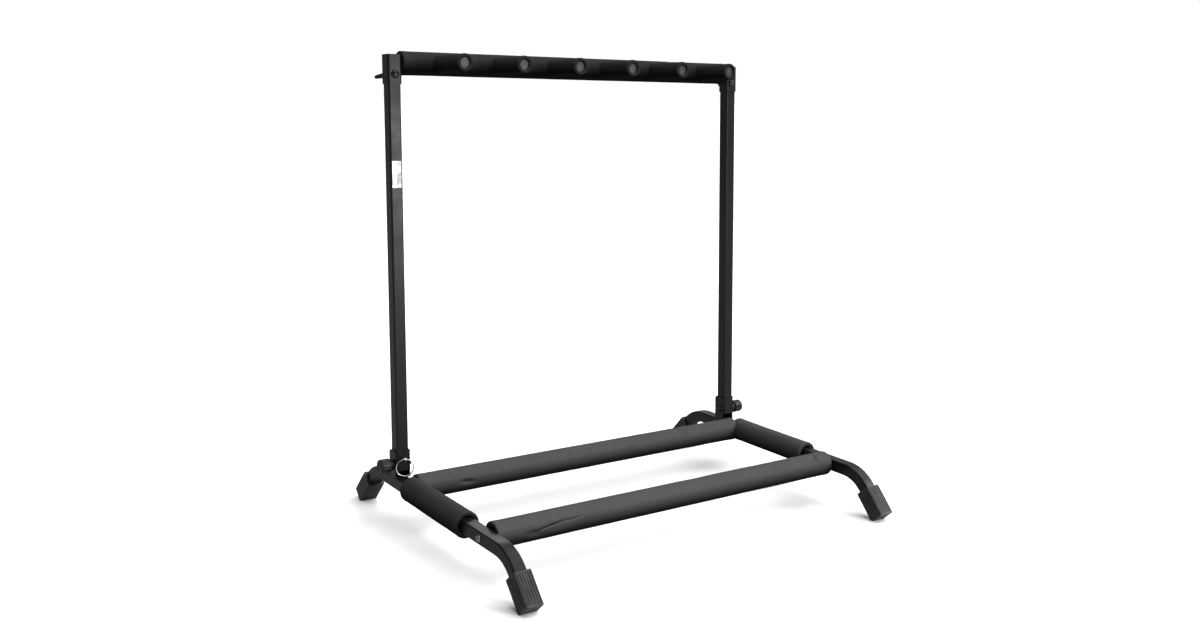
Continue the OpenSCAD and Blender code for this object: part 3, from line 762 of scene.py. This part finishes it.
def camera():
    """A 36 mm sensor a little below the top bar's height, in front and to the left."""
    yaw, pitch, roll = (math.radians(angle) for angle in CAMERA_ANGLES)
    forward = Vector((math.sin(yaw) * math.cos(pitch), math.cos(yaw) * math.cos(pitch), -math.sin(pitch)))
    level = Vector((math.cos(yaw), -math.sin(yaw), 0))
    down = forward.cross(level)
    right = math.cos(roll) * level + math.sin(roll) * down
    below = -math.sin(roll) * level + math.cos(roll) * down
    data = bpy.data.cameras.new("camera")
    data.sensor_width = SENSOR
    data.lens = LENS
    data.shift_x, data.shift_y = SHIFT
    obj = bpy.data.objects.new("camera", data)
    turned_by = Matrix((right, -below, -forward)).transposed().to_4x4()
    obj.matrix_world = Matrix.Translation(CAMERA_PLACE) @ turned_by
    bpy.context.scene.collection.objects.link(obj)
    bpy.context.scene.camera = obj


def aim(obj, position, target):
    obj.location = position
    obj.rotation_mode = "QUATERNION"
    obj.rotation_quaternion = (Vector(target) - Vector(position)).to_track_quat("-Z", "Y")
    bpy.context.scene.collection.objects.link(obj)


def softbox(name, position, target, width, height, power):
    data = bpy.data.lights.new(name, "AREA")
    data.shape = "RECTANGLE"
    data.size, data.size_y = width, height
    data.energy = power
    aim(bpy.data.objects.new(name, data), position, target)


def overhead(name, position, strength, spread):
    data = bpy.data.lights.new(name, "SUN")
    data.energy = strength
    data.angle = math.radians(spread)
    aim(bpy.data.objects.new(name, data), position, (0, 0, 0))


def studio():
    scene = bpy.context.scene
    scene.view_settings.view_transform = "Standard"
    world = bpy.data.worlds.new("studio")
    scene.world = world
    world.use_nodes = True
    tree = world.node_tree
    backdrop = tree.nodes["Background"]
    # White behind the rack, falling off to grey on the left and behind the camera
    towards = shader(tree, "TexCoord").outputs["Generated"]
    azimuth = math.radians(WHITE_AZIMUTH)
    middle = (math.sin(azimuth), math.cos(azimuth), 0)
    facing = shader(tree, "VectorMath", {0: towards, 1: middle}, operation="DOT_PRODUCT").outputs["Value"]
    inputs = {"Value": facing, "From Min": 0.45, "From Max": 0.80, "To Min": 0.26, "To Max": 1.02}
    level = shader(tree, "MapRange", inputs, interpolation_type="SMOOTHSTEP").outputs["Result"]
    tree.links.new(level, backdrop.inputs["Strength"])
    backdrop.inputs["Color"].default_value = (1, 1, 1, 1)
    overhead("ceiling_light", (1.1, -0.8, 2.6), 7.4, 80)
    softbox("front_box", (0.95, -2.6, 0.62), (-0.33, 0.13, 0.60), 0.5, 0.42, 70)
    softbox("side_box", (1.75, -0.95, 1.25), (0.33, -0.25, 0.05), 0.45, 0.35, 18)
    softbox("back_box", (1.4, 3.0, 1.9), (0.1, 0, 0.1), 2.2, 0.7, 60)

    material, tree, paper, place = new_material("studio_paper")
    tone = mix_colour(tree, noise_at(tree, place, 3, 3), grey(0.54), grey(0.57))
    tree.links.new(tone, paper.inputs["Base Color"])
    paper.inputs["Roughness"].default_value = 0.8
    paper.inputs["Specular IOR Level"].default_value = 0.1
    tree.links.new(bump(tree, noise_at(tree, place, 400, 3), 0.1, 0.0002), paper.inputs["Normal"])
    mesh = bpy.data.meshes.new("floor")
    signs = ((-1, -1), (1, -1), (1, 1), (-1, 1))
    corners = [(FLOOR_REACH * a, FLOOR_REACH * b, 0) for a, b in signs]
    mesh.from_pydata(corners, [], [[0, 1, 2, 3]])
    mesh.materials.append(material)
    floor = bpy.data.objects.new("floor", mesh)
    scene.collection.objects.link(floor)


camera()
paint_cad_nodes()
crossbar_foams()
side_foams()
neck_foams()
socket_bolts()
crossbar_bolts()
clamp_knobs()
wing_nuts()
split_ring()
welds()
studio()
